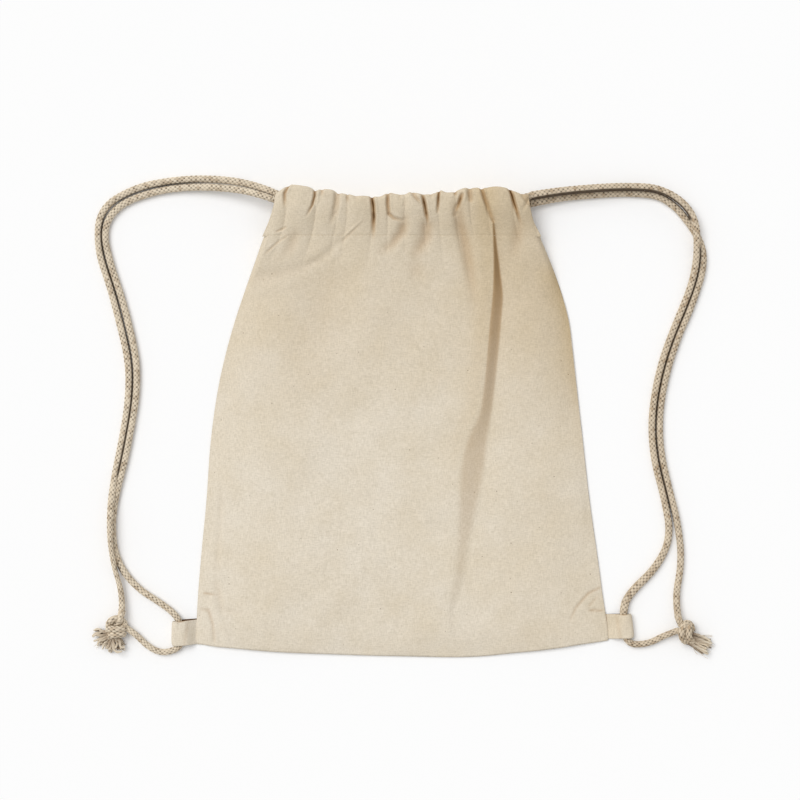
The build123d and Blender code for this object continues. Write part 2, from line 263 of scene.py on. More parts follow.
def spun_cotton_group():
    """Node group of spun cotton: a crown colour, a colour for the shade painted into the gaps
    between yarns, and a dark one for odd yarn ends, with faint blotches, and the bumps of its
    fibres as a normal."""
    group = bpy.data.node_groups.new("spun_cotton", "ShaderNodeTree")
    for label in ("Crown", "Gap", "Dark"):
        group.interface.new_socket(label, in_out="INPUT", socket_type="NodeSocketColor")
    group.interface.new_socket("Color", in_out="OUTPUT", socket_type="NodeSocketColor")
    group.interface.new_socket("Normal", in_out="OUTPUT", socket_type="NodeSocketVector")
    given = group.nodes.new("NodeGroupInput").outputs
    gap_shade_mask = node(group, "Attribute", attribute_name="yarn_gap_shade").outputs["Fac"]
    tone = node(group, "Attribute", attribute_name="yarn_tone").outputs["Fac"]
    place = node(group, "TexCoord").outputs["Object"]
    fibre = node(group, "TexNoise", {"Vector": place, "Scale": 2600.0, "Detail": 2.0})
    blotch = node(group, "TexNoise", {"Vector": place, "Scale": 130.0, "Detail": 3.0})
    shade = ranged(group, blotch.outputs["Fac"], 0.3, 0.7, 0.0, 0.14)
    colour = mixed(group, tone, given["Crown"], given["Dark"])
    colour = mixed(group, shade, colour, given["Gap"])
    colour = mixed(group, gap_shade_mask, colour, given["Gap"])
    result = group.nodes.new("NodeGroupOutput").inputs
    group.links.new(colour, result["Color"])
    group.links.new(bumped(group, fibre.outputs["Fac"], 0.5, 0.00025), result["Normal"])
    return group


spun_cotton = spun_cotton_group()


def cotton_yarn(name, crown, gap_shade, dark):
    """Spun cotton in its own three colours."""
    material, tree, shader = dull_material(name, 0.88, 0.25)
    yarn = node(tree, "Group", {"Crown": crown, "Gap": gap_shade, "Dark": dark}, node_tree=spun_cotton)
    tree.links.new(yarn.outputs["Color"], shader.inputs["Base Color"])
    tree.links.new(yarn.outputs["Normal"], shader.inputs["Normal"])
    return material


# Cream crowns, a dark brown colour for the shade painted into the gaps, and darker yarn ends.
cord_cotton = cotton_yarn("braided_cotton", srgb(236, 221, 197), srgb(58, 42, 26),
                          srgb(176, 150, 118))


def braid_relief_at(turn, along, seed):
    """Height, painted gap shade and tone of a braid at turns round the cord and millimetres along
    it.

    Yarns of one hand follow lines where turn + along is constant, the others where
    turn - along is.  Each yarn is half a circle across, and rises or sinks with the cosine
    of its place between crossings.  The surface is the higher of the two.  Shade is painted into
    the gaps below a height, more or less of it as the corners of the net are more or less open.
    """
    right = yarns_each_way * turn + along / cell_length
    left = yarns_each_way * turn - along / cell_length
    heights = []
    for own, other, sign in ((right, left, 1), (left, right, -1)):
        across = own - np.floor(own)
        rounded = np.sqrt(np.clip(1 - (2 * across - 1) ** 2, 0, 1))
        wave = sign * np.cos(pi * (np.floor(own) + other - 0.5))
        heights.append(yarn_roundness * rounded + (1 - yarn_roundness) * wave)
    height = np.maximum(*heights)
    table = np.random.default_rng(seed).random((tone_rows, tone_columns))
    tone, openness = (table[settle(right).astype(int) % tone_rows,
                            settle(left).astype(int) % tone_columns]
                      for settle in (np.floor, np.rint))
    # Shade is painted into the gaps, darker the lower the surface lies.
    gap_shade = np.clip((gap_from - height) / gap_depth, 0, 1) ** 1.4
    gap_shade = gap_shade * (closed + (1 - closed) * openness)
    return height, gap_shade, np.clip((tone - plain_ends) * 1.6, 0, deepest_tone)


def braided_tube(name, line, seed, reference=(0, 0, 1), half_sizes=(braid_width, braid_height),
                 points=ring_points, step=ring_step, darker_by=0.0, beside=None, widths=None):
    """Mesh tube along a line in metres, a little wider than high, raised by the braid's height.

    A ring is an ellipse less the braid's relief.  Its axes are the sideways vector,
    reference x tangent, and the one square to both.  Its half width runs through the widths,
    pairs of share along and millimetres.  A darker tone greys every yarn alike.  Beside another
    cord, the side is pressed flat half way to it, and shade is painted on it up to the edge of the
    groove.
    """
    line = even_steps(line, step * MM)
    tangent = unit(np.gradient(line, axis=0))
    side = unit(np.cross(np.broadcast_to(np.asarray(reference, float), line.shape), tangent))
    upward = np.cross(tangent, side)
    turn = np.arange(points) / points
    along = np.arange(len(line)) * step
    turns, lengths = np.meshgrid(turn, along)
    height, gap_shade, tone = braid_relief_at(turns, lengths, seed)
    cosine, sine = np.cos(2 * pi * turns)[..., None], np.sin(2 * pi * turns)[..., None]
    half_width = half_sizes[0]
    if widths:
        half_width = np.interp(np.linspace(0, 1, len(line)), *np.transpose(widths))[:, None, None]
    sunk = (braid_relief * (1 - height))[..., None]
    offset = ((half_width - sunk) * cosine * side[:, None]
              + (half_sizes[1] - sunk) * sine * upward[:, None])
    if beside is not None:
        nearest = np.linalg.norm(line[:, None] - beside[None], axis=-1).argmin(axis=1)
        towards = (beside[nearest] - line) / MM
        distance = np.linalg.norm(towards, axis=1)[:, None]
        heading = unit(towards)[:, None]
        past_middle = np.sum(offset * heading, axis=-1) - distance / 2
        level_distance = np.linalg.norm(towards[:, :2], axis=1)[:, None]
        towards_groove = (np.sum(offset[..., :2] * unit(towards[:, :2])[:, None], axis=-1)
                          - level_distance / 2)
        beside_it = eased(level_distance, *stacked) * (1 - eased(level_distance, *apart))
        # Shade painted along the groove between the two strands.
        groove_shade = groove_shade_tint * eased(towards_groove, -groove, -0.3 * groove) * beside_it
        gap_shade = np.maximum(gap_shade, groove_shade)
        offset = offset - np.maximum(past_middle, 0)[..., None] * heading
    rings = line[:, None] + offset * MM
    return grid_mesh(name, rings, tube=True,
                     attributes={"yarn_gap_shade": gap_shade, "yarn_tone": tone + darker_by})


# --- Drawcords in the casings ---------------------------------
# The same braid, threaded through the hems: each cord goes out along the front casing, round a
# bight at the far end and back behind.  The bight lies below the other cord's ends, so the two
# cross over inside the casings.

bight_x, bight_y = 115.3, 191.5
upper_lane, lower_lane = 199.6, 193.0
back_z, front_z = 4.9, 20.0
exit_x, level_x, turning_x = 96, 40, 103
casing_seed = 40


def casing_route(sign, front_y, back_y, front_exit, back_exit):
    """Route of a drawcord from its front exit round the far bight to its back exit."""
    inside = [(exit_x, front_y, front_z), (level_x, front_y, front_z),
              (-level_x, front_y, front_z), (-turning_x, bight_y, front_z - 1.5),
              (-bight_x, bight_y, front_z - 2), (-bight_x, bight_y, back_z + 0.5),
              (-turning_x, bight_y, back_z), (-level_x, back_y, back_z),
              (level_x, back_y, back_z), (exit_x, back_y, back_z)]
    return [front_exit] + [(sign * x, y, z) for x, y, z in inside] + [back_exit]


# How much darker in tone each cord is.
cord_darkening = {"left": 0.03, "right": 0.26}
casing_routes = {
    "left": casing_route(-1, lower_lane, upper_lane, LEFT_TAB[0], LEFT_DIRECT[0]),
    "right": casing_route(1, upper_lane, lower_lane, RIGHT_TAB[0], RIGHT_DIRECT[0])}
for seed, (side_name, route) in enumerate(casing_routes.items()):
    line = spline_line(side_name, route)
    mesh = braided_tube(f"{side_name}_drawcord", line, casing_seed + seed,
                        reference=(0.0, 1.0, 0.35), half_sizes=(3.0, 3.4), points=36, step=0.6,
                        darker_by=cord_darkening[side_name])
    drawcord = add_piece(f"{side_name}_drawcord_in_casing", mesh, cord_cotton)
    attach(drawcord, f"{side_name}_drawcord")
    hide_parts(f"{side_name}_casing_loop")


# --- Knots ----------------------------------------------------
# The two ends are tied together in one tight overhand knot, wider than the tab's loop: a lobe
# over the strands, and two turns side by side round them.

knot_width = 3.3
knot_middle_z = 6.0
knot_seed = 60

# The middle of each knot, and places about it, from the strand without the tab to the frayed
# ends: across, up and the height above the surface.
KNOTS = {
    "left": ((-263.7, -190.2), [
        (5.4, 15.2, 6.6), (4.3, 10.2, 7.6), (3.0, 5.2, 9.0), (-1.0, 1.8, 5.4), (-5.0, -2.0, 3.6),
        (-7.4, 0.6, 6.0), (-6.0, 4.8, 9.2), (-2.6, 7.4, 10.4), (1.8, 8.0, 7.0), (6.2, 4.0, 3.6),
        (8.0, -1.0, 6.2), (5.0, -1.8, 11.2), (-0.4, -1.9, 12.6), (-5.8, -1.4, 10.4),
        (-8.0, -2.9, 6.0), (-3.0, -6.0, 3.5), (4.4, -6.9, 4.2), (6.9, -6.4, 8.2),
        (3.0, -6.6, 11.2), (-2.6, -6.9, 11.0), (-6.2, -7.6, 7.8), (-6.2, -9.6, 5.0)]),
    "right": ((260.5, -195.0), [
        (-7.3, 16.2, 6.6), (-5.9, 11.0, 7.4), (-3.6, 6.6, 6.6), (0.2, 1.5, 4.6), (4.6, 0.2, 3.8),
        (6.8, 2.6, 5.8), (4.2, 7.4, 7.0), (0.6, 8.8, 8.6), (-2.8, 5.0, 11.2), (-4.5, -0.6, 12.4),
        (-2.8, -6.0, 10.2), (0.6, -9.0, 6.4), (3.4, -6.6, 3.6), (5.0, 0.0, 3.5), (4.4, 4.8, 6.4),
        (2.8, 4.8, 10.2), (2.4, 0.2, 12.6), (2.6, -4.8, 10.8), (4.6, -7.6, 7.4),
        (7.2, -9.0, 5.6)])}

knot_pieces = {}
for seed, (side_name, ((x, y), turns)) in enumerate(KNOTS.items()):
    route = [(x + across, y + up, z) for across, up, z in turns]
    line = spline_line(f"{side_name}_knot", route)
    dense = even_steps(line, ring_step * MM)
    outward = unit(dense - np.array([x, y, knot_middle_z]) * MM)
    mesh = braided_tube(f"{side_name}_knot", line, knot_seed + seed, reference=outward,
                        half_sizes=(knot_width, knot_width), darker_by=cord_darkening[side_name])
    knot = add_piece(f"{side_name}_overhand_knot", mesh, cord_cotton)
    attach(knot, "bag")
    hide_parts(f"{side_name}_knot")
    knot_pieces[side_name] = [knot]


# --- Frayed ends ----------------------------------------------
# Past the knot the braid has come undone: thick soft yarns that fan out and droop to the
# surface, with loose fibres between them.

ply_relief, ply_twist = 0.2, 22
tip_taper = 0.35
root_shade, most_shade = 0.8, 0.85

# Pale crowns, a dark brown colour for the painted shade, and darker yarns.
frayed_cotton = cotton_yarn("frayed_cotton", srgb(246, 234, 212), srgb(104, 74, 44),
                            srgb(222, 202, 172))


def yarn_bundle(name, starts, ends, radii, sways, shades, seed):
    """Mesh of many yarns, each a line from start to end that sways as 4t(1 - t) and curls as
    t sin(2 pi t).

    A yarn's radius falls by a third at its tip, and the two plies twisted in it show as ribs.
    Shade is painted on it at its root, in the grooves between its plies, and all along where others
    lie on it.
    """
    rng = np.random.default_rng(seed)
    steps, around = 16, 8
    t = np.linspace(0, 1, steps)
    points, polygons, gap_shades, tones = [], [], [], []
    for start, end, radius, sway, shade in zip(starts, ends, radii, sways, shades):
        bend = rng.normal(0, sway, 3) * (1, 1, 0.4)
        curl = rng.normal(0, sway, 3) * (1, 1, 0.3)
        line = (start + np.outer(t, end - start) + np.outer(t * (1 - t) * 4, bend)
                + np.outer(np.sin(2 * pi * t) * t, curl))
        line[:, 2] = np.maximum(line[:, 2], 1.2 * radius + 0.1)
        tangent = unit(np.gradient(line, axis=0))
        side = unit(np.cross(tangent, [0.1, 0.2, 1.0]))
        upward = np.cross(tangent, side)
        angle = 2 * pi * np.arange(around) / around
        ply = 1 + ply_relief * np.cos(2 * angle[None] + t[:, None] * ply_twist)
        reach = radius * (1 - tip_taper * t[:, None] ** 3) * ply
        rings = (line[:, None] + reach[..., None] * (side[:, None] * np.cos(angle)[:, None]
                 + upward[:, None] * np.sin(angle)[:, None]))
        index = np.arange(steps * around).reshape(steps, around)
        polygons += net_faces(len(points) * steps * around + index, tube=True)
        points.append(rings)
        # Painted shade at the root, between the plies and under other yarns.
        root = root_shade * (1 - t[:, None]) ** 1.8 + shade
        gap_shades.append(np.clip(np.clip((0.98 - ply) / 0.18, 0, 1) * 0.26 + root, 0, most_shade))
        tones.append(np.full((steps, around), rng.random() * 0.45))
    return smooth_mesh(name, np.array(points) * MM, polygons,
                       {"yarn_gap_shade": gap_shades, "yarn_tone": tones})


thick_radius = 1.2
fibre_radius, fibre_count = 0.22, 46
root_z, tip_z = 5.4, 1.4
fray_seed = 80

# Root of each fan and its breadth there, its first and last heading in degrees, its reach, its
# thick yarns and how much they sway.
FANS = {"left": ((-268.6, -197.6), 6.0, (166.0, 322.0), 14.0, 30, 1.4),
        "right": ((265.0, -201.2), 11.0, (324.0, 346.0), 19.0, 14, 0.6)}


def frayed_bundle(side_name, seed):
    """Thick yarns and loose fibres that fan out from the knot's far face."""
    root, breadth, (first, last), reach, thick_count, sway = FANS[side_name]
    rng = np.random.default_rng(seed)
    across = np.radians((first + last) / 2 + 90)
    starts, ends, radii, sways, shades = [], [], [], [], []
    for count, radius, jitter, loose in ((thick_count, thick_radius, 0.09, 1.0),
                                         (fibre_count, fibre_radius, 0.16, 1.4)):
        for number in range(count):
            share = (number + 0.5) / count
            heading = np.radians(first + (last - first) * share + rng.normal(0, 4))
            layer = 0.7 * (number % 2) + 0.3 * rng.random()
            aside = (share - 0.5) * breadth
            start = np.array([root[0] + aside * np.cos(across), root[1] + aside * np.sin(across),
                              root_z + (layer - 0.6) * 6])
            length = reach * (1 + rng.normal(0, jitter))
            end = start + length * np.array([np.cos(heading), np.sin(heading), 0])
            end[2] = tip_z + layer * 5.5
            starts.append(start)
            ends.append(end)
            radii.append(radius * (0.85 + 0.3 * rng.random()))
            sways.append(sway * loose)
            # Painted shade on the thick yarns of the lower layer.
            shades.append(0.65 * (1 - layer) ** 2 * (radius == thick_radius))
    return yarn_bundle(f"{side_name}_fray", starts, ends, radii, sways, shades, seed)


for seed, side_name in enumerate(KNOTS):
    fray = add_piece(f"{side_name}_frayed_yarns", frayed_bundle(side_name, fray_seed + seed),
                     frayed_cotton)
    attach(fray, "bag")
    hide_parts(f"{side_name}_frayed_ends")
    knot_pieces[side_name].append(fray)


# --- Free strands ---------------------------------------------
# The shoulder straps: the ends of the same braided cords, side by side.  Near the casing a
# strand rises to where it leaves with its cord; the rest lies where it is.

strand_seed = 20
path_step, partner_step = 2.0, 0.5

# Name, side, route, length, and half width at shares of the length: the soft braid is wider
# where it lies slack and narrower where it is pulled.
STRANDS = [
    ("left_direct_strand", "left", LEFT_DIRECT, 0.541,
     [(0, 3.45), (0.80, 3.45), (0.89, 2.4), (0.94, 2.5), (0.97, 2.9), (1, 3.3)]),
    ("left_tab_strand", "left", LEFT_TAB, 0.640, [(0, 3.45), (0.72, 3.45), (0.80, 3.1), (1, 2.9)]),
    ("right_tab_strand", "right", RIGHT_TAB, 0.611,
     [(0, 3.95), (0.06, 3.5), (0.76, 3.4), (0.83, 3.9), (0.87, 3.8), (0.92, 3.1), (1, 2.9)]),
    ("right_direct_strand", "right", RIGHT_DIRECT, 0.527,
     [(0, 3.95), (0.06, 3.5), (0.80, 3.4), (0.86, 3.2), (1, 3.3)])]

lines = [spline_line(name, route) for name, _, route, _, _ in STRANDS]
for seed, (name, side_name, route, length, widths) in enumerate(STRANDS):
    line, partner = lines[seed], lines[seed ^ 1]
    mesh = braided_tube(name, line, strand_seed + seed, darker_by=cord_darkening[side_name],
                        beside=even_steps(partner, partner_step * MM), widths=widths)
    strand = add_piece(f"{name}_braid", mesh, cord_cotton)
    sign = -1 if side_name == "left" else 1
    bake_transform(strand)
    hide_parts(name)


# --- Bag cloth: calico ----------------------------------------
# Unbleached plain-woven cotton, with slubs and brown flecks of cotton seed, and warm shade painted
# where it lies in deep folds.

cloud_scale, slub_scale, weave_scale, fleck_scale = 20.0, 1500.0, 420.0, 150.0
drawn_out = 0.16
thread_shade, thread_light = (0.895, 0.888, 0.868, 1.0), (1.095, 1.095, 1.10, 1.0)
seed_brown = srgb(112, 88, 60)


def paired(tree, first, second, operation="ADD"):
    """Socket of the sum of two values, or of another operation on them."""
    return node(tree, "Math", {0: first, 1: second}, operation=operation).outputs["Value"]


def calico(name, plain, warm, mellow, deep_shade, darkest_shade):
    """Cloth of a plain colour with warm blotches, weave bumps and flecks, a warm darker tone and
    painted shade where one attribute asks, and painted shade, deep and at its darkest, in the
    folds."""
    material, tree, shader = dull_material(name, 0.92, 0.2)
    place = node(tree, "TexCoord").outputs["Object"]
    fold = node(tree, "Attribute", attribute_name="fold").outputs["Fac"]
    darker_by = node(tree, "Attribute", attribute_name="mellow").outputs["Fac"]
    cloud = node(tree, "TexNoise", {"Vector": place, "Scale": cloud_scale, "Detail": 5.0,
                                    "Roughness": 0.62})
    colour = mixed(tree, ranged(tree, cloud.outputs["Fac"], 0.36, 0.70, 0.0, 0.75), plain, warm)
    colour = mixed(tree, darker_by, colour, mellow)
    threads, waves = [], []
    for direction, stretch in (("X", (1.0, drawn_out, 1.0)), ("Y", (drawn_out, 1.0, 1.0))):
        laid = node(tree, "Mapping", {"Vector": place, "Scale": stretch}).outputs["Vector"]
        slub = node(tree, "TexNoise", {"Vector": laid, "Scale": slub_scale})
        wave = node(tree, "TexWave", {"Vector": place, "Scale": weave_scale},
                    bands_direction=direction)
        threads.append(slub.outputs["Fac"])
        waves.append(wave.outputs["Fac"])
    slubs = paired(tree, *threads)
    grain = mixed(tree, ranged(tree, slubs, 0.75, 1.25), thread_shade, thread_light)
    colour = mixed(tree, 1.0, colour, grain, blend_type="MULTIPLY")
    fleck = node(tree, "TexVoronoi", {"Vector": place, "Scale": fleck_scale})
    chosen = node(tree, "SeparateColor", {"Color": fleck.outputs["Color"]}).outputs["Red"]
    speck = paired(tree, ranged(tree, chosen, 0.72, 1.0),
                   ranged(tree, fleck.outputs["Distance"], 0.03, 0.10, 1.0, 0.0), "MULTIPLY")
    colour = mixed(tree, speck, colour, seed_brown)
    # Painted shade in the folds: warm and deep, and darkest in their cores.
    colour = mixed(tree, fold, colour, deep_shade)
    colour = mixed(tree, ranged(tree, fold, 0.56, 0.9, 0.0, 0.85), colour, darkest_shade)
    tree.links.new(colour, shader.inputs["Base Color"])
    relief = paired(tree, paired(tree, *waves), slubs)
    tree.links.new(bumped(tree, relief, 0.35, 0.0002), shader.inputs["Normal"])
    return material


bag_calico = calico("calico", srgb(227, 217, 200), srgb(220, 207, 184), srgb(190, 164, 118),
                    srgb(158, 111, 38), srgb(62, 38, 20))


# --- Front of the bag -----------------------------------------
# One cut of calico: seamed to the back along the sides and the bottom, hemmed over at the
# mouth to make the casing, and drawn in there by the cords, so that it stands in gathers.

cloth_thickness = 0.7
stitch_y = 168.6
seam_lip = 3.0
seam_z = 1.7
bottom_left, bottom_width = -190.8, 381.6
mouth_left, mouth_width = -119.4, 236.6

# The bag's outline: the left and right edge as (y, x), the fold at the mouth and the bottom
# seam as (x, y).
LEFT_EDGE = [(-230, -191.0), (-208, -190.9), (-200, -190.7), (-169.8, -189.6), (-128.4, -186.4),
             (-73, -181.2), (-18, -177.2), (37.2, -169), (92.4, -154.8), (120, -145.6),
             (147.6, -136.0), (169.6, -128.2), (184, -121.9), (199, -117.2), (222, -116.6)]
RIGHT_EDGE = [(-230, 190.4), (-205, 190.1), (-190, 189.2), (-177, 187.4), (-169.8, 186.2),
              (-128.4, 180.5), (-73, 172.7), (-18, 166.5), (37.2, 160.3), (64.8, 157.3),
              (92.4, 153.7), (120, 146.1), (147.6, 136.1), (169.6, 126.7), (184, 119.4),
              (199, 116.0), (222, 115.6)]
TOP_EDGE = [(-119.5, 206.2), (-114.7, 210.0), (-109.2, 213.4), (-92.6, 213.6), (-87.1, 212.6),
            (-81.6, 210.0), (-76, 210.8), (-65, 210.1), (-59.5, 207.8), (-52, 206.8),
            (-42.9, 204.6), (-37.4, 204.8), (-28.4, 204.4), (-20.8, 204.6), (-15.3, 207.4),
            (-4.3, 206.0), (1.2, 206.2), (6.8, 208.2), (12.3, 207.0), (28.8, 207.3),
            (34.4, 209.9), (39.9, 208.0), (45.4, 208.2), (50.9, 210.0), (56.4, 211.8),
            (67.5, 212.0), (73, 211.7), (78.5, 212.6), (89.6, 212.8), (95.1, 211.9),
            (100.6, 210.6), (106.1, 207.7), (111.7, 206.8), (117.6, 206.4)]
BOTTOM_EDGE = [(-190.8, -206.8), (-184, -207.3), (-175.4, -208.8), (-158.8, -210.3),
               (-120.2, -213.7), (-65, -216.1), (1.2, -218.0), (73, -218.0), (100.6, -215.2),
               (128.2, -212.4), (144.8, -210.3), (166.9, -206.8), (184, -204.4), (190.8, -203.4)]


def smooth_through(points, at):
    """Values of a smooth curve through (place, value) points: cubics whose slopes at a point
    are those of the line between its two neighbours."""
    x, y = np.asarray(points, float).T
    slope = np.gradient(y, x)
    k = np.clip(np.searchsorted(x, at) - 1, 0, len(x) - 2)
    width = x[k + 1] - x[k]
    t = np.clip((at - x[k]) / width, 0, 1)
    return ((1 + 2 * t) * (1 - t) ** 2 * y[k] + t * (1 - t) ** 2 * width * slope[k]
            + t * t * (3 - 2 * t) * y[k + 1] + t * t * (t - 1) * width * slope[k + 1])


# A crease: its points, half width, depth (a ridge is negative), the lips raised on its left and
# right, its strength at the upper and lower end, and how dark the shade painted in it is.  The lips
# lie lip_offset half widths to each side.
lip_offset = 1.8
CREASES = [
    # at the mouth, from the left
    ([(-103.1, 216), (-107.6, 207.4), (-107.6, 195)], 1.2, 3.2, 0.4, 1.3, 1.0, 0.1, 0.66),
    ([(-79.9, 214), (-80.2, 205), (-82.5, 196), (-87.5, 187)], 1.0, 3.6, 0.4, 0.8, 1.0, 0.1, 0.76),
    ([(-76.4, 214), (-77.2, 200), (-80.2, 192)], 0.9, -1.6, 0.0, 0.0, 1.0, 0.2, 0.0),
    ([(-73.2, 214), (-73.6, 204)], 1.3, 2.6, 0.3, 0.5, 1.0, 0.0, 0.35),
    ([(-59.4, 211), (-60.2, 200), (-62, 190), (-66, 178)], 2.3, 3.0, 0.2, 0.8, 1.0, 0.1, 0.22),
    ([(-57.2, 209.5), (-59.2, 206.5)], 1.3, 3.6, 0.0, 0.5, 1.0, 0.4, 0.78),
    ([(-50.8, 209), (-49.8, 198)], 1.1, 1.9, 0.4, 0.5, 1.0, 0.0, 0.28),
    ([(-43.5, 207), (-41.5, 199)], 1.6, 1.0, 0.2, 0.2, 1.0, 0.1, 0.1),
    ([(-28.6, 207), (-26.8, 196), (-26.2, 186), (-26.8, 168)], 1.5, 5.2, 0.4, 1.2, 0.8, 0.1, 0.98),
    ([(-13.3, 209), (-13.6, 198), (-12.6, 189), (-8.4, 184.8), (-1, 182.8), (3, 184.4)],
     1.4, 3.4, 0.3, 1.0, 0.9, 0.1, 0.55),
    ([(2.5, 184), (-1.5, 172), (-9.8, 161.4), (-20, 155)], 4.0, 1.8, 0.3, 0.6, 0.3, 0.2, 0.36),
    ([(-1.8, 208), (-3.0, 200)], 1.6, 1.2, 0.2, 0.2, 1.0, 0.1, 0.12),
    ([(7.4, 210), (11.6, 203.5), (17.5, 197.5)], 1.5, 3.0, 0.3, 0.7, 1.0, 0.3, 0.35),
    ([(18.4, 204.5), (20.4, 196), (22.6, 184), (23.2, 177)], 1.4, 5.0, 0.5, 0.9, 0.7, 0.1, 0.92),
    ([(22.5, 177), (21.5, 168), (14, 156), (7.8, 146)], 5.5, 2.2, 0.2, 0.2, 1.0, 0.1, 0.32),
    ([(26.0, 209.5), (25.8, 203)], 1.6, 2.4, 0.2, 0.3, 1.0, 0.2, 0.32),
    ([(33.6, 213), (32.6, 203), (31.8, 190)], 1.1, 4.6, 0.6, 0.7, 1.0, 0.2, 0.84),
    ([(29.4, 211), (30.2, 206.5)], 1.3, 3.0, 0.2, 0.2, 1.0, 0.5, 0.4),
    ([(46.8, 212), (48.2, 206.5)], 1.4, 4.2, 0.2, 0.3, 1.0, 0.5, 0.8),
    ([(54.0, 206), (51.4, 198), (47.2, 187.5)], 1.7, 3.4, 0.3, 0.8, 0.6, 0.3, 0.74),
    ([(50.4, 194), (52.6, 180), (57, 165), (61.5, 140), (67, 105)], 4.8, 3.8, 0.0, 1.3, 0.6, 0.1,
     0.33),
    ([(61.2, 213), (61.0, 207), (62.0, 201.5)], 2.2, 3.8, 0.4, 0.4, 1.0, 0.6, 0.34),
    ([(71.4, 213.5), (74.6, 203), (78.8, 192), (82.4, 183)], 1.7, 4.0, 0.9, 0.2, 0.9, 0.6, 0.52),
    ([(96.0, 214.5), (99.6, 206), (101.6, 199), (105.6, 187), (108.2, 179)], 1.4, 5.4, 0.3, 0.9,
     0.8, 0.1, 0.98),
    ([(99.6, 214), (101.4, 209)], 1.2, 2.6, 0.2, 0.2, 1.0, 0.5, 0.4),
    ([(116.0, 204), (109.5, 192)], 1.6, 1.6, 0.2, 0.4, 1.0, 0.2, 0.12),
    ([(106.5, 178), (103.5, 160), (101.0, 146)], 5.5, 1.2, 0.2, 0.2, 0.8, 0.1, 0.2),
    # on the panel, below the casing
    ([(-115.6, 172.6), (-107, 176.6)], 0.9, 1.0, 0.4, 0.2, 0.4, 0.8, 0.2),
    ([(-125.7, 153.1), (-114.1, 163.6), (-106, 168.6)], 0.9, 1.0, 0.4, 0.2, 0.4, 0.8, 0.18),
    ([(-98.7, 168.4), (-103, 158), (-110, 149)], 5.0, 1.6, 0.2, 0.2, 0.9, 0.2, 0.13),
    ([(-137.4, 130.5), (-112, 135.4), (-92, 140.2), (-76, 147.5)], 6.0, 0.9, 0.4, 0.2, 0.8, 0.5,
     0.06),
    ([(-92, 140.2), (-76, 147.5), (-64, 158), (-53, 168.4)], 3.2, 0.7, 0.2, 0.4, 0.2, 0.6, 0.03),
    ([(-58.0, 164.6), (-45, 176), (-37.0, 183.0)], 1.0, -0.8, 0.0, 0.0, 0.3, 0.3, 0.0),
    ([(-56.4, 163.6), (-43.2, 175.2), (-35.6, 182.2)], 1.0, 0.5, 0.0, 0.0, 0.3, 0.3, 0.12),
    ([(12.3, 141), (13, 128)], 7.0, 1.2, 0.2, 0.2, 0.9, 0.1, 0.12),
    ([(-70, 120), (-88, 60), (-92, 10)], 22.0, 1.4, 0.3, 0.3, 0.8, 0.3, 0.04),
    ([(-24, 120), (-30, 40)], 20.0, -1.2, 0.0, 0.0, 0.6, 0.2, 0.0),
    # at the corners
    ([(-167.3, -60), (-167.8, -91), (-171.3, -140)], 2.6, 0.6, 0.2, 0.2, 0.2, 0.6, 0.04),
    ([(-183.5, -159.7), (-172.7, -160.6)], 1.0, 0.7, 0.3, 0.2, 0.8, 0.5, 0.36),
    ([(-186.5, -174.4), (-179.4, -175.3), (-175.4, -188), (-174, -204)], 1.3, 1.3, 0.2, 0.5, 0.5,
     0.5, 0.26),
    ([(-176.8, -166.5), (-168.7, -184), (-160.6, -204)], 2.4, -1.2, 0.0, 0.0, 0.6, 0.5, 0.0),
    ([(-172, -150), (-166, -175), (-150, -178)], 3.0, 1.0, 0.2, 0.2, 0.6, 0.4, 0.08),
    ([(-156.5, -150.3), (-139, -173.2), (-124.2, -189.4), (-107.9, -204.2)], 2.0, -0.8, 0.3, 0.0,
     0.5, 0.4, 0.0),
    ([(182.5, -154.4), (171.6, -159.7), (159.5, -173.2), (154.8, -184)], 1.2, 0.8, 0.2, 0.2, 0.9,
     0.4, 0.34),
    ([(172.4, -175.3), (185, -175.9)], 1.1, 0.8, 0.2, 0.2, 0.5, 0.9, 0.4),
    ([(171.5, -172), (180, -163)], 1.2, 0.5, 0.1, 0.2, 0.5, 0.5, 0.2),
    ([(142, -198), (150, -214)], 4.0, 0.6, 0.2, 0.2, 0.5, 0.5, 0.03),
]

# The long pleat, by y: its crest and the foot of its shaded side, how far it drops and how
# dark the shade painted on that side is.
PLEAT_CREST = [(-204, 45), (-180, 40.7), (-153, 44.8), (-126, 47.5), (-72, 49.5), (-45, 51.5),
               (-18, 58.3), (7.4, 70), (33.2, 74.4), (84.8, 79.5), (123.5, 82.8),
               (149.3, 83.1), (175.2, 82.1), (190, 81)]
PLEAT_FOOT = [(-204, 52), (-180, 47.5), (-153, 55.6), (-99, 66.4), (-45, 77), (-18, 79.5),
              (7.4, 83), (46.1, 86.9), (97.7, 91.6), (113.2, 92.6), (136.4, 90.2),
              (162.3, 86.6), (175.2, 84.9), (190, 82.5)]
PLEAT_DROP = [(-204, 0.2), (-160, 1.0), (-99, 1.8), (-18, 2.8), (61.6, 3.8), (114.5, 4.2),
              (151.9, 3.8), (175.2, 2.4), (190, 0.0)]
PLEAT_SHADE = [(-204, 0.03), (-126, 0.10), (-72, 0.20), (-18, 0.25), (20, 0.30), (46, 0.34),
              (72, 0.41), (98, 0.49), (113, 0.55), (136, 0.63), (168, 0.78), (182, 0.45),
              (190, 0.0)]

# Where the front wall of the casing turns under at its right end.
CASING_END = [(180, 122), (192, 118), (195, 115.6), (198.5, 111.8), (203, 108.2),
              (209.8, 104.8), (222, 103)]


def bell(offset, width):
    """Bell curve exp(-(offset / width)^2)."""
    return np.exp(-(offset / width) ** 2)


